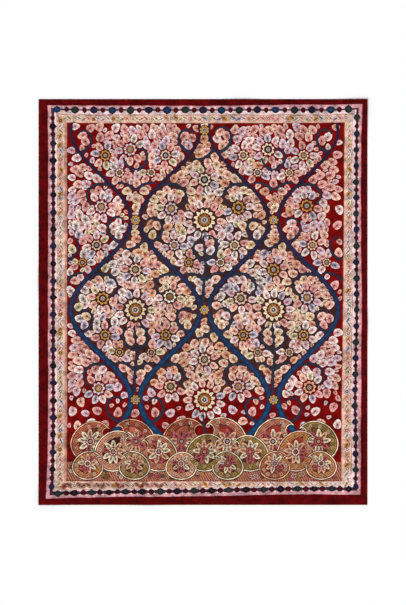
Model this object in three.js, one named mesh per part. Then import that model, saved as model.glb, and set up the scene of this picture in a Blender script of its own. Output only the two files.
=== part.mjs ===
// A kalamkari panel: one length of cotton cloth, painted and dyed, with a narrow hem turned to its back.
// It lies face up, nearly flat, with a few soft rises where the cloth stands clear of the surface under it.
// Millimetres, +Z up, +Y towards the panel's top edge. The origin is on the surface, under the panel's middle.
import * as THREE from "three";
import { mergeVertices } from "three/addons/utils/BufferGeometryUtils.js";

// Driving dimensions
const WIDTH = 915;
const HEIGHT = 1129;
const CLOTH_THICKNESS = 1.2;
const HEM_WIDTH = 11;
const HEM_SLOPE = 3; // over which the face comes down from the doubled hem to the single cloth
const HEM_EXTRA = 0.8; // how much higher the face lies over the hem
const COLUMNS = 30; // steps between the hems, across and down
const ROWS = 36;

// Where the cloth stands clear of the surface: x and y of the middle, half the length, half the width,
// the turn of the long way from +X in degrees, and the height at the middle.
const RISES = [
  { x: -205, y: 330, long: 330, wide: 70, turn: 14, height: 2.6 },
  { x: 215, y: 150, long: 300, wide: 80, turn: -28, height: 2.2 },
  { x: -130, y: -150, long: 340, wide: 75, turn: 9, height: 2.4 },
  { x: 250, y: -330, long: 260, wide: 80, turn: 52, height: 2.3 },
  { x: -330, y: -425, long: 190, wide: 70, turn: -38, height: 2.0 },
  { x: -457, y: 60, long: 120, wide: 60, turn: 0, height: 3.2 },
  { x: 457, y: -60, long: 130, wide: 55, turn: 6, height: 3.0 },
  { x: 110, y: 564, long: 110, wide: 70, turn: 90, height: 2.8 },
  { x: -150, y: -564, long: 105, wide: 75, turn: 90, height: 2.6 },
  { x: 457, y: 564, long: 120, wide: 105, turn: 50, height: 4.6 },
  { x: -457, y: -564, long: 115, wide: 100, turn: 45, height: 3.6 },
];

// A soft hump: 1 in the middle, 0 and level from the ends on.
const hump = (share) => (Math.abs(share) < 1 ? Math.cos((Math.PI / 2) * share) ** 2 : 0);

// How far the cloth stands above the surface at a point.
function lift(x, y) {
  let height = 0;
  for (const rise of RISES) {
    const turn = THREE.MathUtils.degToRad(rise.turn);
    const along = (x - rise.x) * Math.cos(turn) + (y - rise.y) * Math.sin(turn);
    const across = (y - rise.y) * Math.cos(turn) - (x - rise.x) * Math.sin(turn);
    height += rise.height * hump(along / rise.long) * hump(across / rise.wide);
  }
  return height;
}

// Places of the grid's lines across one side: the edge, the hem's inner side, the foot of its slope,
// even steps, and the same again at the other edge.
function stations(length, steps) {
  const hem = [0, HEM_WIDTH, HEM_WIDTH + HEM_SLOPE].map((inset) => inset - length / 2);
  const span = length - 2 * (HEM_WIDTH + HEM_SLOPE);
  const middle = Array.from({ length: steps - 1 }, (_, i) => ((i + 1) / steps - 0.5) * span);
  return [...hem, ...middle, ...hem.map((place) => -place).reverse()];
}

// The cloth as a thin box, its grid moved to the stations, raised over the hem and over the rises.
function clothGeometry() {
  const across = stations(WIDTH, COLUMNS);
  const down = stations(HEIGHT, ROWS);
  const columns = across.length - 1;
  const rows = down.length - 1;
  const box = new THREE.BoxGeometry(columns, rows, CLOTH_THICKNESS, columns, rows, 1);
  const point = box.attributes.position;
  for (let i = 0; i < point.count; i += 1) {
    const x = across[Math.round(point.getX(i) + columns / 2)];
    const y = down[Math.round(point.getY(i) + rows / 2)];
    const onFace = point.getZ(i) > 0;
    const inset = Math.min(WIDTH / 2 - Math.abs(x), HEIGHT / 2 - Math.abs(y));
    const overHem = inset < HEM_WIDTH + HEM_SLOPE / 2;
    const thickness = onFace ? CLOTH_THICKNESS + (overHem ? HEM_EXTRA : 0) : 0;
    point.setXYZ(i, x, y, lift(x, y) + thickness);
  }
  box.deleteAttribute("normal");
  box.deleteAttribute("uv");
  const cloth = mergeVertices(box);
  cloth.computeVertexNormals();
  return cloth;
}

const paintedCotton = new THREE.MeshStandardMaterial({
  color: 0x8f4a3c,
  roughness: 0.92,
  metalness: 0,
});

const cloth = new THREE.Mesh(clothGeometry(), paintedCotton);
cloth.name = "painted_cloth";

const panel = new THREE.Group();
panel.add(cloth);

export default panel;
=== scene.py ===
"""A painted and dyed cotton panel that lies face up on a pale floor, seen from straight above.

The design is worked out in millimetres from the cloth's middle, +Y towards its top edge. Each motif is an
outline on the cloth, and the outlines together become the cloth's own mesh. The material then draws each
motif's petals, veins and pen line inside its outline. Everything is turned into metres when the mesh is made.
"""
import math
import random
from functools import partialmethod

import bpy
import numpy as np
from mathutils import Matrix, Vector
from mathutils.geometry import delaunay_2d_cdt


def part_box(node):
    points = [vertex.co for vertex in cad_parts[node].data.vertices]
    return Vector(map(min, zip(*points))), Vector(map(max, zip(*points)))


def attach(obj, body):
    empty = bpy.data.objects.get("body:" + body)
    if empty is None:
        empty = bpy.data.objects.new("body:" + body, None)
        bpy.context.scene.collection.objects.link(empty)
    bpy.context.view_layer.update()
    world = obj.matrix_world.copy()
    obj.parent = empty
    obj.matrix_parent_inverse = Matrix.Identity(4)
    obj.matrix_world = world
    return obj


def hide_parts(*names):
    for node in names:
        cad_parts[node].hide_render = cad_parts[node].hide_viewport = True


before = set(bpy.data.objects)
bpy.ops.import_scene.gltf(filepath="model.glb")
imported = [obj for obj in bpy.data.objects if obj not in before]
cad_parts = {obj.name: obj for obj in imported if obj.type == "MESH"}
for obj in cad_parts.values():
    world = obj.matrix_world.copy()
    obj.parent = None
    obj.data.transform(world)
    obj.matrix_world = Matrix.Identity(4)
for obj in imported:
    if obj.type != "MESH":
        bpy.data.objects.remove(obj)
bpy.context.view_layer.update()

MM = 0.001
LOW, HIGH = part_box("painted_cloth")
WIDTH = (HIGH[0] - LOW[0]) / MM
HEIGHT = (HIGH[1] - LOW[1]) / MM

# The cloth and its hem
CLOTH_THICKNESS = 0.8
HEM_WIDTH = 11.0
HEM_SLOPE = 3.0  # over which the face comes down from the doubled hem to the single cloth
HEM_EXTRA = 0.7
HEM_GROOVE = 1.4  # beside the turned edge, on the back
GROOVE_DEPTH = 0.49
FOLD_ROUND = 1.4  # how far in from the edge the folded hem is round

# Where the cloth stands clear of the surface, as in the solid: the middle, half the length, half the width,
# the turn of the long way from +X in degrees, and the height at the middle.
RISES = [
    dict(x=-205, y=330, long=330, wide=70, turn=14, height=2.6),
    dict(x=215, y=150, long=300, wide=80, turn=-28, height=2.2),
    dict(x=-130, y=-150, long=340, wide=75, turn=9, height=2.4),
    dict(x=250, y=-330, long=260, wide=80, turn=52, height=2.3),
    dict(x=-330, y=-425, long=190, wide=70, turn=-38, height=2.0),
    dict(x=-457, y=60, long=120, wide=60, turn=0, height=3.2),
    dict(x=457, y=-60, long=130, wide=55, turn=6, height=3.0),
    dict(x=110, y=564, long=110, wide=70, turn=90, height=2.8),
    dict(x=-150, y=-564, long=105, wide=75, turn=90, height=2.6),
    dict(x=457, y=564, long=120, wide=105, turn=50, height=4.6),
    dict(x=-457, y=-564, long=115, wide=100, turn=45, height=3.6),
]

# The dyes, as red, green and blue from 0 to 255
DYES = {
    "maroon": (85, 2, 5),
    "red": (112, 4, 3),
    "ink": (30, 16, 20),
    "umber": (58, 28, 28),
    "bark": (72, 35, 29),
    "dark line": (72, 38, 47),
    "white": (244, 228, 222),
    "cream": (242, 220, 188),
    "shell": (242, 202, 180),
    "peach": (230, 176, 142),
    "pink": (196, 143, 148),
    "milk": (224, 194, 194),
    "rim": (218, 168, 150),
    "sand": (184, 132, 116),
    "blush": (232, 178, 168),
    "rose": (184, 92, 94),
    "lilac": (220, 204, 214),
    "guard": (216, 180, 164),
    "tan": (150, 108, 92),
    "gold": (208, 156, 78),
    "ochre": (176, 110, 44),
    "olive": (112, 96, 54),
    "terracotta": (166, 88, 66),
    "brick": (140, 46, 36),
    "brown": (96, 50, 34),
    "navy": (36, 32, 58),
    "slate": (40, 50, 66),
    "plum": (50, 24, 46),
    "blue": (24, 50, 86),
    "teal": (20, 78, 118),
    "green": (36, 48, 44),
    "wine": (70, 12, 24),
}
COTTON = (196, 172, 148)

# The kinds of motif that the material draws
PLAIN, LEAF, ROSETTE, STEM, DIAMOND, HATCH = range(6)

# How far in from the cloth's edge the painted frame begins, then the dark line of its bead stripe, then its
# field: from the left or the lower end of each side, in even steps to the other end.
FRAME_LINES = {
    "outer": {
        "left": (20.5, 26, 27.2, 26.8, 26.5, 27, 26.8, 27.4, 25),
        "right": (19.6, 19, 18.1, 17.3, 16.2, 18, 18.2, 18, 15),
        "bottom": (18.3, 20.3, 22.8, 23.5, 24.6, 27.2, 29.8, 29.8, 28.4),
        "top": (17.2, 18.2, 18.4, 18.6, 19, 18, 16, 15.8, 15.4),
    },
    "stripe": {
        "left": (30.5, 36, 36.8, 36.6, 36.4, 36.9, 36.7, 36.8, 34.5),
        "right": (29.2, 28.4, 30.6, 28.2, 25.4, 27, 27.2, 26.8, 24),
        "bottom": (26.4, 28.9, 31.3, 32.5, 34.2, 37.2, 39.6, 40.2, 39),
        "top": (24.2, 28.2, 28.2, 28.2, 28.2, 28.2, 28.2, 28, 24.4),
    },
    "inner": {
        "left": (77, 77.5, 78, 78.5, 78.5, 78.5, 78.5, 78, 77),
        "right": (75, 74.5, 73.7, 71.5, 70, 68.5, 67.5, 66.5, 65.5),
        "bottom": (68, 68, 67.5, 67.5, 67.5, 67, 67, 67.5, 68),
        "top": (66.5, 67.2, 67.8, 68, 68, 67.8, 67.4, 66.8, 66),
    },
}

# The frame's bands from outside in. Each begins so far in from one of the frame's lines.
BANDS = [
    dict(dye="pink", line="outer", left=0, right=0, bottom=0, top=0),
    dict(dye="dark line", line="stripe", left=0, right=0, bottom=0, top=0),
    dict(dye="milk", line="stripe", left=9.2, right=7.2, bottom=10.0, top=4.6),
    dict(dye="tan", line="stripe", left=14.8, right=15.8, bottom=13.6, top=15.0),
    dict(dye="guard", line="stripe", left=15.4, right=16.6, bottom=14.4, top=17.2),
    dict(dye="rim", line="inner", left=-8.5, right=-8.0, bottom=-4.0, top=-4.4),
    dict(dye="sand", line="inner", left=-5.5, right=-3.0, bottom=-2.6, top=-2.0),
    dict(dye="brown", line="inner", left=0.6, right=-2.0, bottom=-1.6, top=-1.0),
    dict(dye="red", line="inner", left=2.4, right=0, bottom=0, top=0),
]
DARK_BAND, MILK_BAND, GUARD_BAND, RIM_BAND, FIELD_BAND = (BANDS[i] for i in (1, 2, 4, 5, 8))
BAND_STEP = 24.0
BAND_WAVER = 0.8

# The bead stripe on each side: the distance between neighbours, the large bead's reach along and across
# the stripe, the same for the small one, how far they stand in from the dark line's middle, and the dyes
# that the large ones take in turn
BEADS = {
    "left": dict(step=24, large=(9, 10.5), small=(6.5, 7.5), shift=-0.4, dyes=("navy", "ink")),
    "right": dict(step=22.5, large=(10, 9.5), small=(7, 7), shift=0.6, dyes=("navy", "green")),
    "bottom": dict(step=23.6, large=(11.5, 9.5), small=(8.5, 8.5), shift=0, dyes=("green", "ink")),
    "top": dict(step=25.3, large=(12.5, 11), small=(7.5, 8.5), shift=0, dyes=("blue", "green", "navy")),
}
SMALL_BEAD_DYES = ("wine",)
BEAD_MIDDLES = {"blue": "teal", "green": "slate", "ink": "slate"}
DOT_PLACE = (8.8, 6.0)  # from a small bead's middle to the four dots round it, along and across
DOT_RADIUS = 2.3
BEAD_CORNER = 52.0  # from the cloth's corner to the first bead
BEAD_WAIST = 0.64  # how far out a bead's sides are between its four points

chance = random.Random(1129)


def jitter(reach):
    """A chance step of up to so much either way."""
    return chance.uniform(-reach, reach)


def linear(colour):
    """A colour from 0 to 255 in linear light."""
    shares = [part / 255 for part in colour]
    return [s / 12.92 if s < 0.04045 else ((s + 0.055) / 1.055) ** 2.4 for s in shares]


def dye_colour(dye):
    """A dye in linear light: a name, or two names and how far it is from the first to the second."""
    if isinstance(dye, str):
        return linear(DYES[dye])
    first, second, share = dye
    return [a + (b - a) * share for a, b in zip(linear(DYES[first]), linear(DYES[second]))]


def hump(share):
    """1 in the middle, 0 and level from the ends on."""
    return np.where(np.abs(share) < 1, np.cos(math.pi / 2 * share) ** 2, 0)


def lift(x, y):
    """How far the cloth stands above the surface."""
    height = np.zeros_like(x)
    for rise in RISES:
        turn = math.radians(rise["turn"])
        along = (x - rise["x"]) * math.cos(turn) + (y - rise["y"]) * math.sin(turn)
        across = (y - rise["y"]) * math.cos(turn) - (x - rise["x"]) * math.sin(turn)
        height += rise["height"] * hump(along / rise["long"]) * hump(across / rise["wide"])
    return height


class Painting:
    """The design's motifs in painter's order: where two overlap, the later one shows."""

    def __init__(self):
        self.points = []
        self.outlines = []
        self.motifs = []
        self.ground = "red"

    def add(self, outline, kind, fill, second=None, count=0, pen=1.0, vary=0.08, **axes):
        """One motif: its outline, and its own axes for the material, which start at a point, point along
        turn and measure in units of size."""
        first = len(self.points)
        self.points.extend((float(x), float(y)) for x, y in outline)
        self.outlines.append(list(range(first, len(self.points))))
        shade = 1 + jitter(vary)
        motif = dict(form=(kind, count, pen), at=(0, 0), turn=0.0, size=(1, 1), start=0.0, bend=0.0)
        motif.update(axes, fill=[part * shade for part in dye_colour(fill)] + [1])
        motif.update(second=dye_colour(second or fill) + [1], ground=dye_colour(self.ground) + [1])
        self.motifs.append(motif)

    def column(self, name):
        """One fact about every motif, as an array."""
        return np.array([motif[name] for motif in self.motifs], float)


class Room:
    """Which parts of the cloth are taken, in small square cells. At first all are."""

    CELL = 1.5

    def __init__(self):
        self.taken = np.ones((int(HEIGHT / self.CELL) + 2, int(WIDTH / self.CELL) + 2), bool)

    def cells(self, x, y):
        """The cells that places are in. What lies off the cloth counts as its edge, which stays taken."""
        rows = ((np.asarray(y) + HEIGHT / 2) / self.CELL).astype(int)
        columns = ((np.asarray(x) + WIDTH / 2) / self.CELL).astype(int)
        return np.clip(rows, 0, self.taken.shape[0] - 1), np.clip(columns, 0, self.taken.shape[1] - 1)

    def is_free(self, x, y):
        return not self.taken[self.cells(x, y)].any()

    def take(self, x, y):
        self.taken[self.cells(x, y)] = True

    def free_row(self, y, low, high):
        """Frees the row of cells at a height between two places across."""
        rows, columns = self.cells((low, high), (y, y))
        self.taken[rows[0], columns[0] : columns[1]] = False


painting = Painting()
room = Room()


def placed(points, at, turn):
    """Points of a motif's own axes, moved to their place on the cloth."""
    c, s = math.cos(turn), math.sin(turn)
    return [(at[0] + x * c - y * s, at[1] + x * s + y * c) for x, y in points]


def ahead(x, y, turn, reach):
    """The point so far from another along a turn."""
    return x + reach * math.cos(turn), y + reach * math.sin(turn)


def round_outline(corners, radius, margin=1.0):
    """A ring of points round a disc, which touches it at a margin of 1 and comes in with a smaller one."""
    steps = [2 * math.pi * (i + 0.5) / corners for i in range(corners)]
    grow = margin / math.cos(math.pi / corners)
    return [(radius * grow * math.cos(a), radius * grow * math.sin(a)) for a in steps]


def leaf_profile(u):
    """A leaf's half width at a share of its length, 1 at the widest."""
    s = 2 * np.asarray(u) - 1
    return 0.94 * np.maximum(1 - s * s, 0) ** 0.46 * (1.04 - 0.22 * s)


LEAF_STATIONS = (0.07, 0.36, 0.8)
LEAF_CELLS = np.meshgrid(np.linspace(0.06, 0.95, 11), np.linspace(-0.9, 0.9, 7))


def leaf_spots(x, y, turn, length, width, share):
    """Points spread over the middle share of a leaf, for telling whether there is room for it."""
    along = (0.5 + (LEAF_CELLS[0].ravel() - 0.5) * share) * length
    across = LEAF_CELLS[1].ravel() * leaf_profile(LEAF_CELLS[0].ravel()) * width / 2 * share
    c, s = math.cos(turn), math.sin(turn)
    return x + along * c - across * s, y + along * s + across * c


def leaf(x, y, turn, length, width, fill, second, pen=1.0):
    """A leaf with its base at a point and its tip along turn."""
    bend = jitter(0.25)
    sides = [(u, 1.1 * float(leaf_profile(u))) for u in LEAF_STATIONS]
    ring = [(-0.03, 0)] + [(u, -v) for u, v in sides] + [(1.04, 0)] + sides[::-1]
    bent = [(u * length, (v - bend * (1 - (2 * u - 1) ** 2)) * width / 2) for u, v in ring]
    painting.add(
        placed(bent, (x, y), turn), LEAF, fill, second, at=(x, y), turn=turn,
        size=(length, width / 2), bend=bend, pen=pen, vary=0.14,
    )


class Foliage:
    """The field's leaves. Each finds a place clear of the stems and flowers, and not too near the others."""

    MOST = 4000

    def __init__(self):
        self.leaves = []
        self.places = np.zeros((self.MOST, 4))  # x and y of each leaf's middle, its length and its width

    def add_if_room(self, x, y, turn, length, width, dyes, nearness=0.86, share=0.62):
        """Adds a leaf with its base at a point, and says whether there was room for it."""
        c, s = math.cos(turn), math.sin(turn)
        middle = (x + length / 2 * c, y + length / 2 * s)
        near = self.places[: len(self.leaves)]
        dx, dy = near[:, 0] - middle[0], near[:, 1] - middle[1]
        along = (dx * c + dy * s) / (near[:, 2] + length)
        across = (dy * c - dx * s) / (near[:, 3] + width)
        if (along * along + across * across < (nearness / 2) ** 2).any():
            return False
        if not room.is_free(*leaf_spots(x, y, turn, length, width, share)):
            return False
        self.places[len(self.leaves)] = (*middle, length, width)
        self.leaves.append((x, y, turn, length, width, *dyes))
        return True

    def paint(self):
        """Paints the leaves, the last and smallest first, so that they lie under the larger ones."""
        for leaf_facts in reversed(self.leaves):
            painting.ground = ground_at(*leaf_facts[:2])
            leaf(*leaf_facts)
        painting.ground = "red"


foliage = Foliage()


def disc_spots(x, y, radius):
    """Points spread over a disc."""
    steps = np.arange(-radius, radius + 0.1, 1.2)
    dx, dy = (grid.ravel() for grid in np.meshgrid(steps, steps))
    inside = dx * dx + dy * dy <= radius * radius
    return x + dx[inside], y + dy[inside]


def rosette(x, y, radius, fill, second, petals, turn=None, pen=1.0):
    """A round flower of so many petals, or a ringed disc if there are none."""
    turn = chance.uniform(0, math.pi) if turn is None else turn
    ring = round_outline(12 if radius > 11 else 8, radius, 0.99)
    painting.add(
        placed(ring, (x, y), turn), ROSETTE, fill, second, at=(x, y), turn=turn,
        size=(radius, radius), count=petals, pen=pen,
    )


def blossom(x, y, radius, dyes, petals=8):
    """A flower in three rings: outer petals, inner petals and an eye."""
    outer, inner, eye, core = dyes
    rosette(x, y, radius, outer, inner, petals)
    rosette(x, y, radius * 0.58, inner, core, petals)
    rosette(x, y, radius * 0.3, eye, core, 0)


def unfolded(side, way):
    """A stem's side without the places where it would run backwards, on the inside of a tight bend."""
    side = side.copy()
    for i in range(1, len(side)):
        if (side[i] - side[i - 1]) @ way[i] < 0.3:
            side[i] = side[i - 1] + 0.3 * way[i]
    return side


def stem(points, half_widths, fills, seconds, pen=1.0):
    """A painted stem along points, of changing width, with two dyes for each piece between two points."""
    path = np.array(points, float)
    way = np.gradient(path, axis=0)
    way /= np.linalg.norm(way, axis=1)[:, None]
    across = np.stack([-way[:, 1], way[:, 0]], axis=1)
    half = np.asarray(half_widths, float)
    left = unfolded(path + across * half[:, None], way)
    right = unfolded(path - across * half[:, None], way)
    station = 0.0
    for i in range(len(path) - 1):
        run = path[i + 1] - path[i]
        length = float(np.hypot(*run))
        width = float(half[i] + half[i + 1]) / 2
        painting.add(
            [right[i], right[i + 1], left[i + 1], left[i]], STEM, fills[i], seconds[i], at=tuple(path[i]),
            turn=math.atan2(run[1], run[0]), size=(width, width), start=station, pen=pen, vary=0.02,
        )
        station += length / width


# The frame and its bands

RUNS_UP = {"bottom": False, "right": True, "top": False, "left": True}
SIDE_ENDS = {side: ("bottom", "top") if up else ("left", "right") for side, up in RUNS_UP.items()}


def side_place(side, run, inset):
    """The point on a side at a distance run along it from its left or lower end, and inset into it."""
    return {
        "left": (inset - WIDTH / 2, run - HEIGHT / 2),
        "right": (WIDTH / 2 - inset, run - HEIGHT / 2),
        "bottom": (run - WIDTH / 2, inset - HEIGHT / 2),
        "top": (run - WIDTH / 2, HEIGHT / 2 - inset),
    }[side]


def side_length(side):
    return HEIGHT if RUNS_UP[side] else WIDTH


def band_inset(band, side, run):
    """How far in from the cloth's edge a band begins, at a distance along a side."""
    stations = FRAME_LINES[band["line"]][side]
    places = np.linspace(0, side_length(side), len(stations))
    return float(np.interp(run, places, stations)) + band[side]


def between_bands(outer, inner, side, run):
    """The middle of the stripe between two bands' outer sides, and half its width."""
    begin, finish = band_inset(outer, side, run), band_inset(inner, side, run)
    return (begin + finish) / 2, (finish - begin) / 2


def frame_line(band):
    """A band's outer side as a closed line round the cloth, a little uneven, as drawn by hand."""
    line = []
    for side, backwards in (("bottom", False), ("right", False), ("top", True), ("left", True)):
        length = side_length(side)
        low_end, high_end = SIDE_ENDS[side]
        meets_at = {other: side_length(other) if side in ("right", "top") else 0 for other in SIDE_ENDS[side]}
        begin = band_inset(band, low_end, meets_at[low_end])
        finish = length - band_inset(band, high_end, meets_at[high_end])
        runs = np.linspace(begin, finish, round((finish - begin) / BAND_STEP) + 1)
        for run in (runs[::-1] if backwards else runs)[:-1]:
            waver = jitter(BAND_WAVER)
            line.append(side_place(side, run, band_inset(band, side, run) + waver))
    return line


def cloth_line(inset):
    """A rectangle so far in from the cloth's edge, with points all along it."""
    right, top = WIDTH / 2 - inset, HEIGHT / 2 - inset
    across = np.linspace(-right, right, round(2 * right / BAND_STEP) + 1)[:-1]
    up = np.linspace(-top, top, round(2 * top / BAND_STEP) + 1)[:-1]
    return (
        [(x, -top) for x in across]
        + [(right, y) for y in up]
        + [(-x, top) for x in across]
        + [(-right, -y) for y in up]
    )


def paint_frame():
    """The dyed margin, the lines inside it and the field's own ground."""
    hem = (0, 0.15, 0.6, FOLD_ROUND, HEM_WIDTH, HEM_WIDTH + HEM_GROOVE, HEM_WIDTH + HEM_SLOPE)
    for inset in hem:
        painting.add(cloth_line(inset), PLAIN, "maroon", vary=0)
    for band in BANDS:
        painting.add(frame_line(band), PLAIN, band["dye"], vary=0)


def bead(place, turn, reach, dye):
    """A four-pointed bead with slightly hollow sides, drawn out along turn."""
    corners = [(1, 0), (BEAD_WAIST, BEAD_WAIST), (0, 1), (-BEAD_WAIST, BEAD_WAIST)]
    corners += [(-u, -v) for u, v in corners]
    ring = [(u * reach[0], v * reach[1] * chance.uniform(0.88, 1.1)) for u, v in corners]
    painting.add(placed(ring, place, turn), DIAMOND, dye, BEAD_MIDDLES.get(dye, dye), vary=0.3,
                 at=place, turn=turn, size=reach)


def dots(side, run, inset):
    """Four small pale dots round a small bead."""
    for along in (-DOT_PLACE[0], DOT_PLACE[0]):
        for across in (-DOT_PLACE[1], DOT_PLACE[1]):
            place = side_place(side, run + along, inset + across + jitter(0.6))
            ring = placed(round_outline(5, DOT_RADIUS), place, chance.uniform(0, 1))
            painting.add(ring, PLAIN, "milk", vary=0.06)


def paint_beads():
    """Large and small beads in turn along the dark line, on all four sides."""
    for side, beads in BEADS.items():
        start, end = BEAD_CORNER, side_length(side) - BEAD_CORNER
        count = round((end - start) / beads["step"])
        for i in range(count + 1):
            run = start + (end - start) * i / count + jitter(1.5)
            size, dyes = ("small", SMALL_BEAD_DYES) if i % 2 else ("large", beads["dyes"])
            reach = [part * chance.uniform(0.92, 1.08) for part in beads[size]]
            middle = between_bands(DARK_BAND, MILK_BAND, side, run)[0] + beads["shift"]
            place = side_place(side, run, middle + jitter(0.7))
            bead(place, math.pi / 2 * RUNS_UP[side], reach, dyes[i // 2 % len(dyes)])
            if size == "small":
                dots(side, run, middle)


GUARD_LEAVES = [("peach", "terracotta"), ("cream", "brown"), ("shell", "terracotta"), ("white", "tan"),
                ("blush", "rose"), ("gold", "brown"), ("white", "rose"), ("cream", "tan"), ("lilac", "plum"),
                ("shell", "brick"), ("white", "brown")]
DARK_GUARD_LEAVES = [("terracotta", "brown"), ("peach", "brick"), ("guard", "brown"), ("blush", "brick"),
                     ("sand", "umber")]
GUARD_STEP = 13.5
GUARD_SLANT = 0.6
GUARD_LEAF = 22.0  # the leaves' length
GUARD_CORNER = 60.0  # from the cloth's corner to the first leaf
DARK_SHARE = 0.42  # of the bottom, from the left: the leaves are darker there


def paint_guard():
    """Leaves that slant to and fro along the pale band, with a small flower in every fourth place."""
    painting.ground = ("guard", "brown", 0.35)
    for side, runs_up in RUNS_UP.items():
        start, end = GUARD_CORNER, side_length(side) - GUARD_CORNER
        count = round((end - start) / GUARD_STEP)
        for i in range(count + 1):
            run = start + (end - start) * i / count
            middle, reach = between_bands(GUARD_BAND, RIM_BAND, side, run)
            if i % 4 == 3:
                x, y = side_place(side, run, middle + jitter(1.5))
                rosette(x, y, reach * chance.uniform(0.75, 0.95), *chance.choice(GUARD_LEAVES), 6, pen=0.9)
                continue
            x, y = side_place(side, run, middle)
            turn = math.pi / 2 * runs_up + GUARD_SLANT * (1 if i % 2 else -1) + jitter(0.2)
            base = ahead(x, y, turn, -GUARD_LEAF / 2)
            dark = side == "bottom" and run < DARK_SHARE * WIDTH
            dyes = chance.choice(DARK_GUARD_LEAVES if dark else GUARD_LEAVES)
            leaf(*base, turn, GUARD_LEAF, reach * 1.35, *dyes)
    painting.ground = "red"


# The field: four vines that sway, part and meet, scrolls and flowers between them, and paisleys at the foot

FIELD_MIDDLE = 4.0
FIELD_REACH = 380.0  # from there to its sides, about
VINE_PITCH = 192.0
VINE_SWAY = 84.0
VINE_PERIOD = 500.0
VINE_NODE = -272.0  # where the first and second vines meet, and the third and fourth
UPPER_NODE = VINE_NODE + VINE_PERIOD  # where they meet again
VINE_FOOT = -430.0
VINE_TOP = 488.0
FIELD_FOOT = -350.0  # the leaves come down to here
VINE_STEP = 11.0
VINE_HALF_WIDTHS = (9.4, 4.2)  # at the foot and at the top
OPEN_BELOW = -222.0  # under this the red ground shows more
SHADE_FOOT = -236.0  # the ground between the vines is dark above this
LEAF_SIZES = [(27, 24, 9000), (23, 20, 9000), (18, 15, 12000), (13.5, 11, 12000)]  # and tries
LEAF_PITCH = 22.0  # along a stem or round a flower, from one leaf to the next
LEAF_ROWS = 4  # on each side of a stem
LEAF_SLANT = 0.95  # from the stem's way to the leaf's, in radians
WREATH_LEAF = (25, 20)  # the leaves round a flower
MAIN_FLOWER = 34.0
SCROLL_FLOWERS = (20, 18, 16, 13, 10.5)  # the largest that has room stands at a scroll's end
SCROLL_HALF_WIDTHS = (5.0, 2.4)  # at the foot and at the tip
NODE_DISCS = (15, 7)  # where two vines meet
LEAVES_OFF = (5, 11)  # from the middle of a scroll and of a vine, the first row of leaves
PALE_SIDE = dict(left_of=-200, above=-100, below=240, share=0.85)  # most leaves are white there
BARE_SIDE = dict(right_of=345, above=30, below=290, share=0.6)  # and fewer here

CREAM_LEAVES = [("cream", "terracotta"), ("cream", "ochre"), ("shell", "terracotta"), ("cream", "rose"),
                ("peach", "brick"), ("shell", "rose")]
WHITE_LEAVES = [("white", "rose"), ("lilac", "plum"), ("white", "terracotta"), ("cream", "olive"),
                ("shell", "rose"), ("white", "brown")]
PEACH_LEAVES = [("shell", "brick"), ("peach", "terracotta"), ("shell", "rose"), ("cream", "terracotta"),
                ("blush", "brick")]
PINK_LEAVES = [("blush", "rose"), ("lilac", "rose"), ("shell", "rose"), ("blush", "brick"), ("white", "rose")]
FLOWERS = [("cream", "ochre", "white", "ink"), ("shell", "olive", "cream", "ink"),
           ("white", "olive", "gold", "brown"), ("peach", "brown", "cream", "ink"),
           ("gold", "brown", "white", "ink"), ("cream", "green", "white", "ink"),
           ("lilac", "ochre", "cream", "brown")]

# The compartments between the vines: the middle of each, from the field's middle line, counted in vines
# across and in half sways up from the lowest node
COMPARTMENTS = [
    (across * VINE_PITCH, VINE_NODE + up * VINE_PERIOD / 2)
    for across, up in ((0, 2), (-1, 1), (1, 1), (0, 0), (-1, 3), (1, 3), (-2, 2), (2, 2), (-2, 0), (2, 0))
]

# The scrolls of a compartment's right half, which its left half mirrors. Each leaves the vine or the stem up
# the middle at a height from the compartment's middle, at a heading, and turns by so many degrees.
SCROLLS = [
    dict(source="stem", height=-168, heading=52, length=110, curl=-200),
    dict(source="stem", height=-112, heading=22, length=96, curl=170),
    dict(source="vine", height=-62, heading=158, length=120, curl=-230),
    dict(source="vine", height=24, heading=118, length=170, curl=-260),
    dict(source="vine", height=96, heading=160, length=120, curl=190),
    dict(source="vine", height=140, heading=128, length=110, curl=-40),
    dict(source="vine", height=196, heading=236, length=90, curl=-130),
]
# Flowers by themselves: how far across and up from a compartment's middle, and their radius
SINGLE_FLOWERS = [(0, 112, 19), (84, -70, 16), (62, 84, 14), (44, -118, 13), (0, 178, 13)]
STEM_STEP = 9.0
SCROLL_STEP = 6.0
SHORTEST_SCROLL = 42.0

stem_paths = []  # the points of every stem
scrolls = []  # the same, without the vines
flowers = []


def field_edge(side, place):
    """Where the field ends on one of its sides, at a height or at a place across."""
    inset = band_inset(FIELD_BAND, side, place + side_length(side) / 2)
    half = (WIDTH if RUNS_UP[side] else HEIGHT) / 2
    return inset - half if side in ("left", "bottom") else half - inset


def vine_across(number, y):
    """Where one of the four vines is at a height."""
    sway = VINE_SWAY if number % 2 == 0 else -VINE_SWAY
    turn = 2 * math.pi * (y - VINE_NODE) / VINE_PERIOD
    return FIELD_MIDDLE + (number - 1.5) * VINE_PITCH + sway * np.cos(turn)


def vine_half_width(y):
    return float(np.interp(y, (VINE_FOOT, VINE_TOP), VINE_HALF_WIDTHS))


def shade_edge(x):
    """How low the dark ground between the vines comes."""
    return SHADE_FOOT + 16 * math.cos((x - FIELD_MIDDLE) * 2 * math.pi / 96)


def shade_vines(y):
    """The two vines between which the ground is dark: the outer ones, and the inner ones near the top."""
    return (1, 2) if y > UPPER_NODE else (0, 3)


def ground_at(x, y):
    """The dye of the ground: dark between the vines, red at the sides and in the upper corners."""
    left, right = shade_vines(y)
    inside = vine_across(left, y) < x < vine_across(right, y) and y > shade_edge(x)
    return "bark" if inside else "red"


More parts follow.
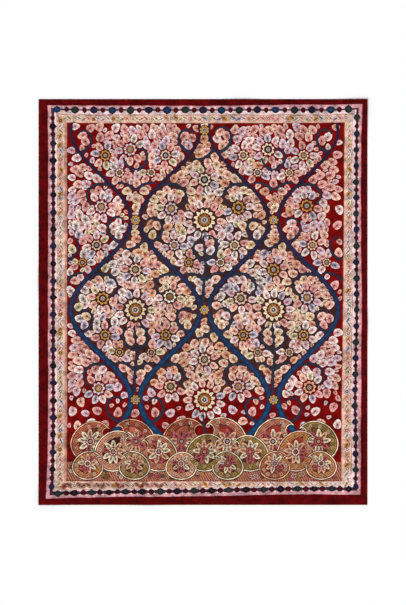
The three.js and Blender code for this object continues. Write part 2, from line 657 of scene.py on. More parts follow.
def leaf_dyes(x, y):
    """A leaf's dyes: pinker towards the field's sides and corners, in drifts of paler ones between."""
    out = math.hypot((x - FIELD_MIDDLE) / 400, (y - 90) / 460)
    pale = x < PALE_SIDE["left_of"] and PALE_SIDE["above"] < y < PALE_SIDE["below"]
    if pale and chance.random() < PALE_SIDE["share"]:
        return chance.choice(WHITE_LEAVES)
    if out + jitter(0.12) > (0.9 if ground_at(x, y) == "bark" else 0.72):
        return chance.choice(PINK_LEAVES)
    drift = math.sin(x / 74 + 0.6) + math.sin(y / 88 + x / 160) + jitter(0.7)
    return chance.choice(WHITE_LEAVES if drift > 0.75 else CREAM_LEAVES if drift > -0.6 else PEACH_LEAVES)


def crowding(x, y):
    """How closely the leaves lie, 1 at the closest. They thin out at the right, in the upper corners and
    low down."""
    side = abs(x - FIELD_MIDDLE) / FIELD_REACH
    edge = (1.6 if x > FIELD_MIDDLE else 0.5) * max(0.0, side - 0.86)
    corner = max(0.0, (y - 280) / 200) * max(0.0, side - 0.45) * 1.2
    low = max(0.0, (OPEN_BELOW - y) / 40) * 0.5
    bare = x > BARE_SIDE["right_of"] and BARE_SIDE["above"] < y < BARE_SIDE["below"]
    return max(0.3, 1.0 - edge - corner - low - BARE_SIDE["share"] * bare)


def open_field():
    """Frees the field's part of the cloth, down to the paisleys."""
    for y in np.arange(FIELD_FOOT, field_edge("top", 0) - 1, Room.CELL):
        room.free_row(y, field_edge("left", y) + 2, field_edge("right", y) - 2)


def scroll_path(x, y, heading, length, curl):
    """A stem that turns more and more tightly, as far as there is room for it."""
    count = int(length / SCROLL_STEP)
    path = [(x, y)]
    for i in range(count):
        heading += curl * (0.35 + 1.3 * i / count) / count
        x, y = ahead(x, y, heading, SCROLL_STEP)
        if i > 2 and not room.is_free(*disc_spots(x, y, 5.0)):
            break
        path.append((x, y))
    return path


def scroll(x, y, heading, length, curl):
    """A curling stem with a flower at its end, if there is room for a fair part of it."""
    path = np.array(scroll_path(x, y, heading, length, curl))
    if len(path) * SCROLL_STEP < SHORTEST_SCROLL:
        return
    add_stem(path, 4.5)
    way = path[-1] - path[-2]
    for radius in SCROLL_FLOWERS:
        spot = path[-1] + way / np.linalg.norm(way) * (radius * 0.8 + 5)
        if room.is_free(*disc_spots(*spot, radius * 0.8)):
            place_flower(*spot, radius, chance.choice(FLOWERS))
            break


def add_stem(path, reach):
    """Remembers a stem, and keeps room for it so far on both sides."""
    for x, y in path:
        room.take(*disc_spots(x, y, reach))
    stem_paths.append(path)
    scrolls.append(path)


def place_flower(x, y, radius, dyes, petals=8):
    """Keeps room for a flower and puts a wreath of leaves round it."""
    flowers.append((x, y, radius, dyes, petals))
    count = round(2 * math.pi * (radius + 10) / LEAF_PITCH)
    start = chance.uniform(0, math.pi)
    for i in range(count):
        turn = start + 2 * math.pi * i / count
        base = ahead(x, y, turn, radius + 0.5)
        foliage.add_if_room(*base, turn, *WREATH_LEAF, chance.choice(PINK_LEAVES + WHITE_LEAVES), 0.7, 0.5)
    room.take(*disc_spots(x, y, radius + 1.5))


def fill_compartment(dx, middle):
    """A compartment's large flower, the stem up to it, and its scrolls in mirrored pairs."""
    x = FIELD_MIDDLE + dx
    if room.is_free(*disc_spots(x, middle, MAIN_FLOWER + 2)):
        place_flower(x, middle, MAIN_FLOWER, FLOWERS[0], 12)
        foot = max(middle - VINE_PERIOD / 2 + 18, VINE_FOOT)
        behind = FIELD_FOOT if abs(dx) < VINE_PITCH else -HEIGHT  # the paisleys hide the stem below this
        rise = np.arange(foot, middle - 40, STEM_STEP)
        path = np.array([(x + 3 * math.sin((y - middle) / 26), y) for y in rise
                         if y < behind or room.is_free(x, y)])
        if len(path) > 4:
            add_stem(path, 3.0)
    for facts in SCROLLS:
        y = middle + facts["height"]
        for side in (1, -1):
            gap = VINE_PITCH / 2 + VINE_SWAY * math.cos(2 * math.pi * facts["height"] / VINE_PERIOD)
            out = gap - vine_half_width(y) - 1 if facts["source"] == "vine" else 3
            heading = math.radians(facts["heading"] if side > 0 else 180 - facts["heading"])
            begin = (x + side * out, y)
            if room.is_free(*ahead(*begin, heading, 2 * SCROLL_STEP)):
                scroll(*begin, heading, facts["length"] * chance.uniform(0.92, 1.08),
                       side * math.radians(facts["curl"]))


def place_single_flowers(dx, middle):
    """The flowers of a compartment that stand on no stem."""
    for across, up, radius in SINGLE_FLOWERS:
        for side in (1, -1) if across else (1,):
            x, y = FIELD_MIDDLE + dx + side * across, middle + up
            if room.is_free(*disc_spots(x, y, radius + 6)):
                place_flower(x, y, radius, chance.choice(FLOWERS))


def row_leaves(path, reach):
    """Rows of leaves on both sides of a stem, each row between the tips of the one before."""
    runs = np.hypot(*np.diff(path, axis=0).T)
    stations = np.concatenate([[0], np.cumsum(runs)])
    ways = np.gradient(path, axis=0)
    length, width = LEAF_SIZES[0][:2]
    for row in range(LEAF_ROWS):
        begin = LEAF_PITCH * (0.3 + 0.5 * (row % 2))
        for station in np.arange(begin, stations[-1], LEAF_PITCH):
            x, y = (float(np.interp(station, stations, path[:, k])) for k in (0, 1))
            heading = math.atan2(*(float(np.interp(station, stations, ways[:, k])) for k in (1, 0)))
            for side in (1, -1):
                turn = heading + side * (LEAF_SLANT + jitter(0.12))
                off = reach + row * 0.62 * length + chance.uniform(0, 1.5)
                base = ahead(x, y, heading + side * math.pi / 2, off)
                if crowding(*base) > chance.uniform(0.35, 0.9):
                    foliage.add_if_room(*base, turn, length, width, leaf_dyes(*base), 0.7, 0.55)


def scatter_leaves():
    """Leaves in ever smaller sizes wherever there is room, slanting out from the nearest stem."""
    stems = np.concatenate(stem_paths)
    ways = np.concatenate([np.gradient(path, axis=0) for path in stem_paths])
    for length, width, tries in LEAF_SIZES:
        for _ in range(tries):
            y = chance.uniform(FIELD_FOOT, field_edge("top", 0))
            x = chance.uniform(field_edge("left", y), field_edge("right", y))
            if not room.is_free(x, y):
                continue
            nearest = int(np.argmin((stems[:, 0] - x) ** 2 + (stems[:, 1] - y) ** 2))
            heading = math.atan2(ways[nearest][1], ways[nearest][0])
            aside = (y - stems[nearest][1]) * ways[nearest][0] - (x - stems[nearest][0]) * ways[nearest][1]
            turn = heading + math.copysign(LEAF_SLANT, aside) + jitter(0.25)
            base = ahead(x, y, turn, -length / 2)
            near = 0.72 / math.sqrt(crowding(x, y))
            foliage.add_if_room(*base, turn, length, width, leaf_dyes(x, y), near)


def paint_shade():
    """The dark ground between the vines."""
    up = np.linspace(SHADE_FOOT, VINE_TOP, 36)
    low = np.linspace(vine_across(0, SHADE_FOOT), vine_across(3, SHADE_FOOT), 34)
    left = [(vine_across(shade_vines(y)[0], y), y) for y in up[::-1]]
    right = [(vine_across(shade_vines(y)[1], y), y) for y in up]
    painting.add([(x, shade_edge(x)) for x in low] + right + left, PLAIN, "bark", vary=0)


def paint_vines():
    """The upright vines and all that grows between them, from the leaves below to the flowers on top."""
    heights = np.arange(VINE_FOOT, VINE_TOP, VINE_STEP)
    heights[-1] = field_edge("top", 0)
    vines = [np.stack([vine_across(number, heights), heights], axis=1) for number in range(4)]
    stem_paths.extend(vines)
    for path in vines:
        for x, y in path:
            room.take(*disc_spots(x, y, vine_half_width(y) + 1.5))
    for dx, middle in COMPARTMENTS:
        fill_compartment(dx, middle)
    for dx, middle in COMPARTMENTS:
        place_single_flowers(dx, middle)
    for path in scrolls:
        row_leaves(path, LEAVES_OFF[0])
    for path in vines:
        row_leaves(path, LEAVES_OFF[1])
    scatter_leaves()
    paint_shade()
    foliage.paint()
    for path in scrolls:
        out = abs(path[0][0] - FIELD_MIDDLE) / FIELD_REACH
        dye = ("slate", "plum", min(1.0, out * chance.uniform(0.6, 1.2)))
        half_widths = np.linspace(*SCROLL_HALF_WIDTHS, len(path))
        stem(path, half_widths, [dye] * len(path), ["slate"] * len(path), pen=0.7)
    for path in vines:
        paint_vine(path)
    for x, y, radius, dyes, petals in flowers:
        painting.ground = ground_at(x, y)
        blossom(x, y, radius, dyes, petals)
    painting.ground = "umber"
    for dx, y in COMPARTMENTS:
        for node_y in (y - VINE_PERIOD / 2, y + VINE_PERIOD / 2):
            if abs(dx) < 2 * VINE_PITCH and VINE_FOOT < node_y < VINE_TOP:
                rosette(FIELD_MIDDLE + dx, node_y, NODE_DISCS[0], "gold", "brick", 8)
                rosette(FIELD_MIDDLE + dx, node_y, NODE_DISCS[1], "cream", "blue", 0)
    painting.ground = "red"


def paint_vine(path):
    """A vine, blue at its foot and plum towards its top."""
    shares = np.linspace(0, 1, len(path) - 1)
    fills = [("blue", "plum", share) for share in shares]
    seconds = [("teal", "navy", min(1.0, 1.3 * share)) for share in shares]
    stem(path, [vine_half_width(y) for x, y in path], fills, seconds, pen=0.6)


# The paisleys at the foot of the field

BUTA_ROUND = 5  # steps round a quarter of a paisley's round end
BUTA_TAIL = 12  # steps up its tail
BUTA_BODY = 0.36  # how far up its length it is widest
BUTA_CURL = 2.5  # how far its spine has turned at the tip, in radians
BUTA_CURL_START = 1.6  # how late up the tail the turn comes
# What is inside a paisley, in shares of its width: how far in the hatching, the beads and the core begin,
# how far up the flower is, its radius, and how far out its leaves begin, their length and their width
HATCH_INSET, BEAD_INSET, CORE_INSET = 0.1, 0.155, 0.225
HEAD_UP, HEAD_FLOWER, HEAD_LEAF = 0.52, 0.115, (0.1, 0.2, 0.125)
HEAD_LEAVES = 9
HEAD_TURN = 0.72  # from one leaf to the next, in radians
# The dyes of the rim, the body, the core, and the flower from outside in
BUTA_DYES = [
    ("cream", ("peach", "terracotta", 0.85), "brick", ("cream", "ink", "white", "ink")),
    ("peach", "terracotta", "brown", ("blush", "umber", "cream", "ink")),
    ("shell", ("gold", "terracotta", 0.7), "brick", ("white", "umber", "gold", "ink")),
    ("peach", ("brick", "terracotta", 0.6), "terracotta", ("rose", "ink", "white", "ink")),
    ("cream", ("olive", "gold", 0.2), "brown", ("rose", "brick", "cream", "ink")),
    ("peach", ("rose", "brick", 0.5), "brown", ("cream", "ink", "white", "teal")),
    ("cream", ("peach", "terracotta", 0.6), "umber", ("shell", "brick", "white", "ink")),
]

# The rows of paisleys, the one furthest back first: how many, how far apart, where they stand, and their size
BUTA_ROWS = [
    dict(count=6, pitch=127, base=-448, long=156, wide=116),
    dict(count=5, pitch=127, base=-474, long=140, wide=110),
    dict(count=6, pitch=130, base=-497, long=106, wide=92),
]
FOOT_CREST = -420.0  # how high the ground behind the paisleys reaches in the middle
FOOT_FALL = 26.0  # and how much less towards its sides
FOOT_LEVEL = -440.0  # the height at which the field's sides are its ends
FLORALS = 190
FLORAL_SPAN = (-490.0, FOOT_CREST - 30)  # how low and how high they stand


def buta_taper(share):
    """A paisley's half width at a share of its tail's length, 1 at the widest."""
    return 0.46 * (1 + math.cos(math.pi * share)) + 0.08 * (1 - share)


def buta_outline(x, y, long, wide, curl, inset):
    """A paisley's outline, so far inside its rim: it stands on its round end with its tip bent over."""
    body = BUTA_BODY * long
    left, right = [], []
    for i in range(BUTA_ROUND + 1):
        angle = math.pi / 2 * i / BUTA_ROUND
        half, up = (wide / 2 - inset) * math.sin(angle), body - (body - inset) * math.cos(angle)
        left.append((x - half, y + up))
        right.append((x + half, y + up))
    px, py, step = x, y + body, (long - body) / BUTA_TAIL
    for i in range(1, BUTA_TAIL + 1):
        share = i / BUTA_TAIL
        heading = math.pi / 2 + curl * BUTA_CURL * share**BUTA_CURL_START
        px, py = ahead(px, py, heading, step)
        half = buta_taper(share) * wide / 2 - inset
        if half < 1.0:
            break
        side = (-math.sin(heading) * half, math.cos(heading) * half)
        left.append((px + side[0], py + side[1]))
        right.append((px - side[0], py - side[1]))
    return right + [(px, py)] + left[:0:-1]


def buta(x, y, long, wide, curl, dyes):
    """A paisley: nested outlines, a hatched body, and a flower with leaves round it in its core."""
    rim, body, core, flower = dyes

    def inside(inset):
        return buta_outline(x, y, long, wide, curl, inset)

    for inset, dye in ((0, "ink"), (2.4, rim), (5.0, "umber"), (7.6, body)):
        painting.add(inside(inset), PLAIN, dye, vary=0.05)
    hatched(inside(wide * HATCH_INSET), body, "ink", (x, y), 0.9 if curl > 0 else 2.2)
    painting.ground = body
    for px, py in inside(wide * BEAD_INSET)[::2]:
        dye = chance.choice(("cream", "gold", "peach", "peach", "shell"))
        rosette(px, py, chance.uniform(4.6, 5.8), dye, "ink", 5)
    for inset, dye in ((wide * CORE_INSET, "umber"), (wide * CORE_INSET + 2.4, core)):
        painting.add(inside(inset), PLAIN, dye, vary=0.05)
    painting.ground = core
    head = y + wide * HEAD_UP
    out, leaf_long, leaf_wide = (wide * share for share in HEAD_LEAF)
    for i in range(HEAD_LEAVES):
        turn = math.pi / 2 + (i - 4) * HEAD_TURN
        base = ahead(x, head, turn, out)
        dye = chance.choice(("cream", "peach", "peach", "rose"))
        leaf(*base, turn, leaf_long, leaf_wide, dye, "umber")
    blossom(x, head, wide * HEAD_FLOWER, flower, 8)
    painting.ground = "red"


def hatched(outline, fill, second, at, turn, step=5.2):
    """An outline filled with fine slanting pen lines so far apart."""
    painting.add(outline, HATCH, fill, second, at=at, turn=turn, size=(step, step))


def paint_foot():
    """Rows of paisleys along the foot of the field, over a ground of their own with small flowers."""
    left, right = field_edge("left", FOOT_LEVEL), field_edge("right", FOOT_LEVEL)
    spans = np.linspace(left, right, 40)
    crest = [(x, FOOT_CREST - FOOT_FALL * (x / FIELD_REACH) ** 2) for x in spans]
    base = [(x, field_edge("bottom", x)) for x in np.linspace(left, right, 9)]
    hatched(base + crest[::-1], ("terracotta", "peach", 0.2), "umber", (0, 0), 0.5, 6.0)
    scatter_florals(spans)
    for row in BUTA_ROWS:
        for i in range(row["count"]):
            x = FIELD_MIDDLE + row["pitch"] * (i - (row["count"] - 1) / 2)
            long = row["long"] * chance.uniform(0.93, 1.07)
            buta(x, row["base"], long, row["wide"], 1.0 if i % 2 else -1.0, chance.choice(BUTA_DYES))


def scatter_florals(spans):
    """Small flowers and leaves between the paisleys."""
    painting.ground = "umber"
    for _ in range(FLORALS):
        x, y = chance.uniform(spans[0] + 8, spans[-1] - 8), chance.uniform(*FLORAL_SPAN)
        dye = chance.choice(("cream", "gold", "blush", "peach", "olive", "rose"))
        rosette(x, y, chance.uniform(5, 9), dye, chance.choice(("umber", "brick", "green")), 6, pen=0.8)
    painting.ground = "red"


def paint_field():
    open_field()
    paint_vines()
    paint_foot()


# The cloth's mesh

GRID_PITCH = 50.0
FACE_SHARE, BACK_SHARE = 0.79, 0.19  # how much of the baked picture's width each side of the cloth takes
BACK_START = 0.805


def grid_points():
    """Points where little is painted, so that the mesh follows the cloth's rises there too."""
    across = np.arange(-WIDTH / 2 + GRID_PITCH, WIDTH / 2 - 20, GRID_PITCH)
    up = np.arange(-HEIGHT / 2 + GRID_PITCH, HEIGHT / 2 - 20, GRID_PITCH)
    return [(float(x), float(y)) for x in across for y in up]


def thickness_of(inset):
    """The cloth's thickness at a distance from its edge: the hem doubles it."""
    slope = np.clip((inset - HEM_WIDTH) / HEM_SLOPE, 0, 1)
    return CLOTH_THICKNESS + HEM_EXTRA * (1 - slope * slope * (3 - 2 * slope))


def top_motif(cover, place, boxes):
    """The last motif painted at a place, of those whose outlines are said to cover it. An outline's box is
    looked at too, because the triangulation now and then lets an outline spill over the whole cloth."""
    x, y = place
    return max(k for k in cover if boxes[k][0] <= x <= boxes[k][2] and boxes[k][1] <= y <= boxes[k][3])


def cloth_mesh():
    """The painting's outlines as one closed mesh: the face, the back, and a rounded fold between them."""
    points = [Vector(p) for p in painting.points + grid_points()]
    corners, _, faces, _, _, covers = delaunay_2d_cdt(points, [], painting.outlines, 0, 0.001)
    flat = np.array([tuple(p) for p in corners])
    triangles = np.array(faces)
    drawn = np.array(painting.points)
    boxes = [
        np.ravel([drawn[ring].min(axis=0), drawn[ring].max(axis=0)]).tolist() for ring in painting.outlines
    ]
    middles = flat[triangles].mean(axis=1).tolist()
    motif = np.array([top_motif(cover, place, boxes) for cover, place in zip(covers, middles)])
    x, y = flat[:, 0], flat[:, 1]
    inset = np.minimum(WIDTH / 2 - np.abs(x), HEIGHT / 2 - np.abs(y))
    thickness = thickness_of(inset)
    swell = np.sqrt(np.clip(1 - (1 - np.clip(inset / FOLD_ROUND, 0, 1)) ** 2, 0, 1))
    ground = lift(x, y)
    middle = ground + thickness / 2
    in_groove = (inset > HEM_WIDTH + 0.05) & (inset < HEM_WIDTH + HEM_GROOVE + 0.05)
    face_z = middle + thickness / 2 * swell
    back_z = middle - thickness / 2 * swell + np.where(in_groove, GROOVE_DEPTH, 0)
    inner = np.nonzero(inset > 1e-4)[0]
    back_number = np.arange(len(flat))
    back_number[inner] = len(flat) + np.arange(len(inner))
    places = np.concatenate([
        np.stack([x, y, face_z], axis=1),
        np.stack([x[inner], y[inner], back_z[inner]], axis=1),
    ])
    both = np.concatenate([triangles, back_number[triangles][:, ::-1]])
    mesh = bpy.data.meshes.new("painted_cotton_panel")
    mesh.from_pydata((places * MM).tolist(), [], both.tolist())
    mesh.update()
    mesh.shade_smooth()
    write_motifs(mesh, flat, triangles, motif, inset)
    return mesh


def store(mesh, name, kind, domain, field, values):
    """Stores one value for each of the mesh's faces or corners."""
    mesh.attributes.new(name, kind, domain).data.foreach_set(field, values.ravel())


def write_motifs(mesh, flat, triangles, motif, inset):
    """Stores on each triangle what its motif is, and on its corners the place in the motif's own axes."""
    corners = np.concatenate([triangles, triangles[:, ::-1]])
    owner = np.concatenate([motif, motif])
    at, turn, size, start, bend, form = (
        painting.column(name)[owner] for name in ("at", "turn", "size", "start", "bend", "form"))
    offset = flat[corners] - at[:, None, :]
    c, s = np.cos(turn)[:, None], np.sin(turn)[:, None]
    u = (offset[..., 0] * c + offset[..., 1] * s) / size[:, :1] + start[:, None]
    v = (offset[..., 1] * c - offset[..., 0] * s) / size[:, 1:]
    local = np.stack([u, v, np.broadcast_to(bend[:, None], u.shape)], axis=2)
    store(mesh, "local", "FLOAT_VECTOR", "CORNER", "vector", local)
    store(mesh, "form", "FLOAT_VECTOR", "FACE", "vector", form)
    for name in ("fill", "second", "ground"):
        store(mesh, name, "FLOAT_COLOR", "FACE", "color", painting.column(name)[owner])
    in_hem = inset[triangles].mean(axis=1) < HEM_WIDTH
    soak = np.concatenate([np.ones(len(motif)), np.where(in_hem, 1.0, 0.0)])
    store(mesh, "soak", "FLOAT", "FACE", "value", soak)
    write_bake_map(mesh, flat[corners], len(triangles))


def write_bake_map(mesh, places, on_face):
    """Lays the face out large in its own corner of the picture, and the back small beside it."""
    across, up = places[..., 0] / WIDTH + 0.5, places[..., 1] / HEIGHT + 0.5
    is_face = np.arange(len(places))[:, None] < on_face
    u_map = np.where(is_face, across * FACE_SHARE, BACK_START + across * BACK_SHARE)
    v_map = np.where(is_face, up * FACE_SHARE, up * BACK_SHARE) * HEIGHT / WIDTH
    layer = mesh.uv_layers.new(name="OFBake")
    layer.data.foreach_set("uv", np.stack([u_map, v_map], axis=2).ravel())


# The material


class Formula:
    """A number that a material's nodes work out. Signs between formulas make Math nodes."""

    def __init__(self, tree, socket):
        self.tree = tree
        self.socket = socket

    def math(self, operation, *others):
        node = self.tree.nodes.new("ShaderNodeMath")
        node.operation = operation
        for slot, value in zip(node.inputs, (self, *others)):
            if isinstance(value, Formula):
                self.tree.links.new(value.socket, slot)
            else:
                slot.default_value = value
        return Formula(self.tree, node.outputs[0])

    __add__ = partialmethod(math, "ADD")
    __sub__ = partialmethod(math, "SUBTRACT")
    __mul__ = partialmethod(math, "MULTIPLY")
    __truediv__ = partialmethod(math, "DIVIDE")
    __pow__ = partialmethod(math, "POWER")
    __abs__ = partialmethod(math, "ABSOLUTE")

    def __invert__(self):
        """One minus the formula: the other side of a mask."""
        return (self * -1.0).math("ADD", 1.0)

    def rises(self, low, high):
        """A mask that goes softly from 0 at low to 1 at high."""
        node = self.tree.nodes.new("ShaderNodeMapRange")
        node.interpolation_type = "SMOOTHSTEP"
        self.tree.links.new(self.socket, node.inputs["Value"])
        node.inputs["From Min"].default_value = low
        node.inputs["From Max"].default_value = high
        return Formula(self.tree, node.outputs["Result"])

    def falls(self, low, high):
        """A mask that goes softly from 1 at low to 0 at high."""
        return ~self.rises(low, high)

    def is_about(self, value):
        return self.math("COMPARE", float(value), 0.5)


def attribute(tree, name, output="Color"):
    """What the mesh stores under a name."""
    node = tree.nodes.new("ShaderNodeAttribute")
    node.attribute_name = name
    return node.outputs[output]


def parts(tree, socket):
    """A vector's three numbers as formulas."""
    node = tree.nodes.new("ShaderNodeSeparateXYZ")
    tree.links.new(socket, node.inputs[0])
    return [Formula(tree, out) for out in node.outputs]


def mixed(tree, share, first, second):
    """The colour between two, each a socket or a fixed colour."""
    node = tree.nodes.new("ShaderNodeMix")
    node.data_type = "RGBA"
    tree.links.new(share.socket, node.inputs["Factor"])
    for slot, value in ((node.inputs[6], first), (node.inputs[7], second)):
        if isinstance(value, bpy.types.NodeSocket):
            tree.links.new(value, slot)
        else:
            slot.default_value = (*linear(value), 1)
    return node.outputs[2]


def noise(tree, scale, detail=2.0, roughness=0.5):
    """Noise over the cloth, with so many lumps a metre along X and Y."""
    place = tree.nodes.new("ShaderNodeTexCoord")
    stretch = tree.nodes.new("ShaderNodeVectorMath")
    stretch.operation = "MULTIPLY"
    stretch.inputs[1].default_value = (scale[0], scale[1], min(scale))
    node = tree.nodes.new("ShaderNodeTexNoise")
    node.inputs["Scale"].default_value = 1.0
    node.inputs["Detail"].default_value = detail
    node.inputs["Roughness"].default_value = roughness
    tree.links.new(place.outputs["Object"], stretch.inputs[0])
    tree.links.new(stretch.outputs[0], node.inputs["Vector"])
    return node


def noise_value(tree, scale, detail=2.0, roughness=0.5):
    return Formula(tree, noise(tree, scale, detail, roughness).outputs[0])


def leaf_marks(u, v, bend):
    """A leaf's masks: its pen line, its second dye, and what lies outside it."""
    s = u * 2.0 - 1.0
    open_share = ~(s * s)
    off_axis = abs(v + bend * open_share)
    profile = (open_share.math("MAXIMUM", 0.0005) ** 0.46) * (s * -0.207 + 0.978)
    edge = off_axis / profile
    midrib = off_axis.falls(0.03, 0.1) * u.falls(0.35, 0.6)
    veins = (u * 4.0 - off_axis * 1.4).math("FRACT").rises(0.6, 0.8) * edge.falls(0.62, 0.78)
    core = edge.falls(0.34, 0.6) * u.falls(0.6, 0.8)
    heart = (u - 0.42) * (u - 0.42) * 3.4 + off_axis * off_axis
    dots = abs((u * 3.3 + 0.2).math("FRACT") - 0.5).falls(0.12, 0.24) * abs(edge - 0.62).falls(0.08, 0.18)
    dots = dots * u.rises(0.24, 0.34) * u.falls(0.84, 0.9)
    pen = edge.rises(0.86, 0.94)
    for mark in (midrib * 0.6, heart.falls(0.02, 0.07) * 0.8, dots * 0.55):
        pen = pen.math("MAXIMUM", mark)
    second = (core * 0.72).math("MAXIMUM", veins * 0.5)
    return pen, second, edge.rises(1.02, 1.08)


def rosette_marks(u, v, count):
    """A round flower's masks. With no petals it is a ringed disc."""
    radius = (u * u + v * v).math("SQRT")
    wave = (v.math("ARCTAN2", u) * count).math("COSINE")
    edge = radius / (wave * 0.11 + 0.87)
    gaps = wave.falls(-0.96, -0.78) * radius.rises(0.3, 0.36)
    ring = abs(radius - (wave * 0.05 + 0.5)).falls(0.02, 0.06)
    eye = abs(radius - 0.22).falls(0.03, 0.06)
    pen = edge.rises(0.86, 0.94)
    for mark in (gaps * 0.8, ring * 0.7, eye * 0.9):
        pen = pen.math("MAXIMUM", mark)
    second = radius.falls(0.46, 0.54) * radius.rises(0.18, 0.24)
    dash = wave.rises(0.8, 0.96) * radius.rises(0.56, 0.6) * radius.falls(0.74, 0.8)
    return pen, second.math("MAXIMUM", dash * 0.7), edge.rises(1.0, 1.04)


def stem_marks(u, v):
    """A stem's masks: a line down each side, and lighter scales along its middle."""
    width = abs(v)
    scales = (u * 2.2 + width * 1.5).math("SINE").rises(-0.2, 0.6)
    return width.rises(0.74, 0.88), width.falls(0.3, 0.62) * (scales * 0.6 + 0.4)


def hatch_marks(u):
    """Fine lines side by side, as drawn with a pen."""
    return abs(u.math("FRACT") - 0.5).falls(0.14, 0.26)


def diamond_marks(u, v):
    """A bead's masks: its rim and its lighter middle."""
    reach = (abs(u) ** 0.8) + (abs(v) ** 0.8)
    return reach.rises(0.72, 0.95) * 0.6, reach.falls(0.2, 0.5)


def cloth_material():
    """Painted cotton: the motifs' dyes, pen lines, uneven dyeing, and a woven surface."""
    material = bpy.data.materials.new("painted_cotton")
    material.use_nodes = True
    tree = material.node_tree
    shader = tree.nodes["Principled BSDF"]
    kind, count, pen_strength = parts(tree, attribute(tree, "form", "Vector"))
    u, v, bend = parts(tree, attribute(tree, "local", "Vector"))
    tremble = parts(tree, noise(tree, (140, 140), 1.0).outputs["Color"])
    u = u + (tremble[0] - 0.5) * 0.10
    v = v + (tremble[1] - 0.5) * 0.22

    leaf_pen, leaf_second, leaf_outside = leaf_marks(u, v, bend)
    rose_pen, rose_second, rose_outside = rosette_marks(u, v, count)
    stem_pen, stem_second = stem_marks(u, v)
    bead_pen, bead_second = diamond_marks(u, v)
    is_leaf, is_rosette, is_stem, is_bead, is_hatch = (
        kind.is_about(k) for k in (LEAF, ROSETTE, STEM, DIAMOND, HATCH))
    pen = is_leaf * leaf_pen + is_rosette * rose_pen + is_stem * stem_pen + is_bead * bead_pen
    second = is_leaf * leaf_second + is_rosette * rose_second + is_stem * stem_second + is_bead * bead_second
    second = second + is_hatch * hatch_marks(u) * 0.8
    outside = is_leaf * leaf_outside + is_rosette * rose_outside

    colour = mixed(tree, second, attribute(tree, "fill"), attribute(tree, "second"))
    colour = mixed(tree, pen * pen_strength, colour, DYES["ink"])
    colour = mixed(tree, outside, colour, attribute(tree, "ground"))
    soak = Formula(tree, attribute(tree, "soak", "Fac"))
    colour = mixed(tree, soak * 0.62 + 0.38, COTTON, colour)

    clouds = noise_value(tree, (9, 7), 4.0, 0.6).rises(0.36, 0.64)
    blots = noise_value(tree, (95, 105), 3.0, 0.6).rises(0.34, 0.66)
    warp = noise_value(tree, (1500, 60), 2.0)
    weft = noise_value(tree, (50, 1400), 2.0)
    flecks = noise_value(tree, (290, 310), 2.0, 0.7).rises(0.36, 0.64)
    pools = noise_value(tree, (40, 44), 4.0, 0.65).rises(0.36, 0.64)
    uneven = clouds * 0.16 + blots * 0.2 + flecks * 0.32 + warp * 0.1 + weft * 0.1
    cloth_shade = uneven + 0.51 + kind.is_about(PLAIN) * (pools - 0.5) * 0.7
    shaded = tree.nodes.new("ShaderNodeVectorMath")
    shaded.operation = "SCALE"
    tree.links.new(colour, shaded.inputs[0])
    tree.links.new(cloth_shade.socket, shaded.inputs["Scale"])
    tree.links.new(shaded.outputs[0], shader.inputs["Base Color"])

    bump = tree.nodes.new("ShaderNodeBump")
    bump.inputs["Strength"].default_value = 0.5
    bump.inputs["Distance"].default_value = 0.0002
    tree.links.new((warp + weft).socket, bump.inputs["Height"])
    tree.links.new(bump.outputs[0], shader.inputs["Normal"])
    rough = blots * 0.06 + 0.86
    tree.links.new(rough.socket, shader.inputs["Roughness"])
    shader.inputs["Sheen Weight"].default_value = 0.02
    shader.inputs["Sheen Roughness"].default_value = 0.6
    shader.inputs["Specular IOR Level"].default_value = 0.04
    return material


# The camera, the floor and the light

PHOTO = (406, 605)  # the picture's width and height in pixels
MM_PER_PIXEL = 2.781
PANEL_CENTRE = (203.0, 302.0)  # in the picture
CAMERA_HEIGHT = 3.4
FACE_HEIGHT = 0.002  # of the cloth's face above the floor, about
LENS_FILM = 36.0
FLOOR_REACH = 20.0
FLOOR_DROP = 0.0003  # under the cloth


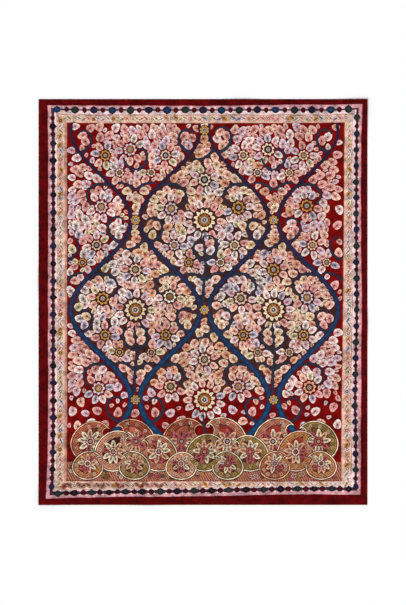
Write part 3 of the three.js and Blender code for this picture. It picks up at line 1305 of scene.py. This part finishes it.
def add_camera():
    camera = bpy.data.objects.new("camera", bpy.data.cameras.new("camera"))
    bpy.context.scene.collection.objects.link(camera)
    bpy.context.scene.camera = camera
    shown = PHOTO[1] * MM_PER_PIXEL * MM
    camera.data.sensor_width = LENS_FILM
    camera.data.lens = LENS_FILM * (CAMERA_HEIGHT - FACE_HEIGHT) / shown
    camera.data.clip_end = 50
    across = (PHOTO[0] / 2 - PANEL_CENTRE[0]) * MM_PER_PIXEL * MM
    down = (PHOTO[1] / 2 - PANEL_CENTRE[1]) * MM_PER_PIXEL * MM
    camera.location = (across, -down, CAMERA_HEIGHT)


def add_floor():
    mesh = bpy.data.meshes.new("floor")
    ways = [(-1, -1), (1, -1), (1, 1), (-1, 1)]
    corners = [(x * FLOOR_REACH, y * FLOOR_REACH, -FLOOR_DROP) for x, y in ways]
    mesh.from_pydata(corners, [], [(0, 1, 2, 3)])
    floor = bpy.data.objects.new("floor", mesh)
    bpy.context.scene.collection.objects.link(floor)
    material = bpy.data.materials.new("pale_floor")
    material.use_nodes = True
    shader = material.node_tree.nodes["Principled BSDF"]
    shader.inputs["Base Color"].default_value = (0.92, 0.92, 0.92, 1)
    shader.inputs["Roughness"].default_value = 0.9
    mesh.materials.append(material)


def add_light():
    world = bpy.data.worlds.new("studio")
    bpy.context.scene.world = world
    world.use_nodes = True
    world.node_tree.nodes["Background"].inputs["Color"].default_value = (1, 1, 1, 1)
    world.node_tree.nodes["Background"].inputs["Strength"].default_value = 0.84
    lamp = bpy.data.lights.new("window", "SUN")
    lamp.energy = 1.16
    lamp.angle = math.radians(25)
    light = bpy.data.objects.new("window", lamp)
    light.rotation_euler = (math.radians(38), math.radians(-30), 0)
    bpy.context.scene.collection.objects.link(light)
    bpy.context.scene.view_settings.view_transform = "Standard"


add_camera()
add_floor()
add_light()

paint_frame()
paint_beads()
paint_guard()
paint_field()

cloth = bpy.data.objects.new("painted_cotton_panel", cloth_mesh())
bpy.context.scene.collection.objects.link(cloth)
cloth.data.materials.append(cloth_material())
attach(cloth, "root")
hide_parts("painted_cloth")
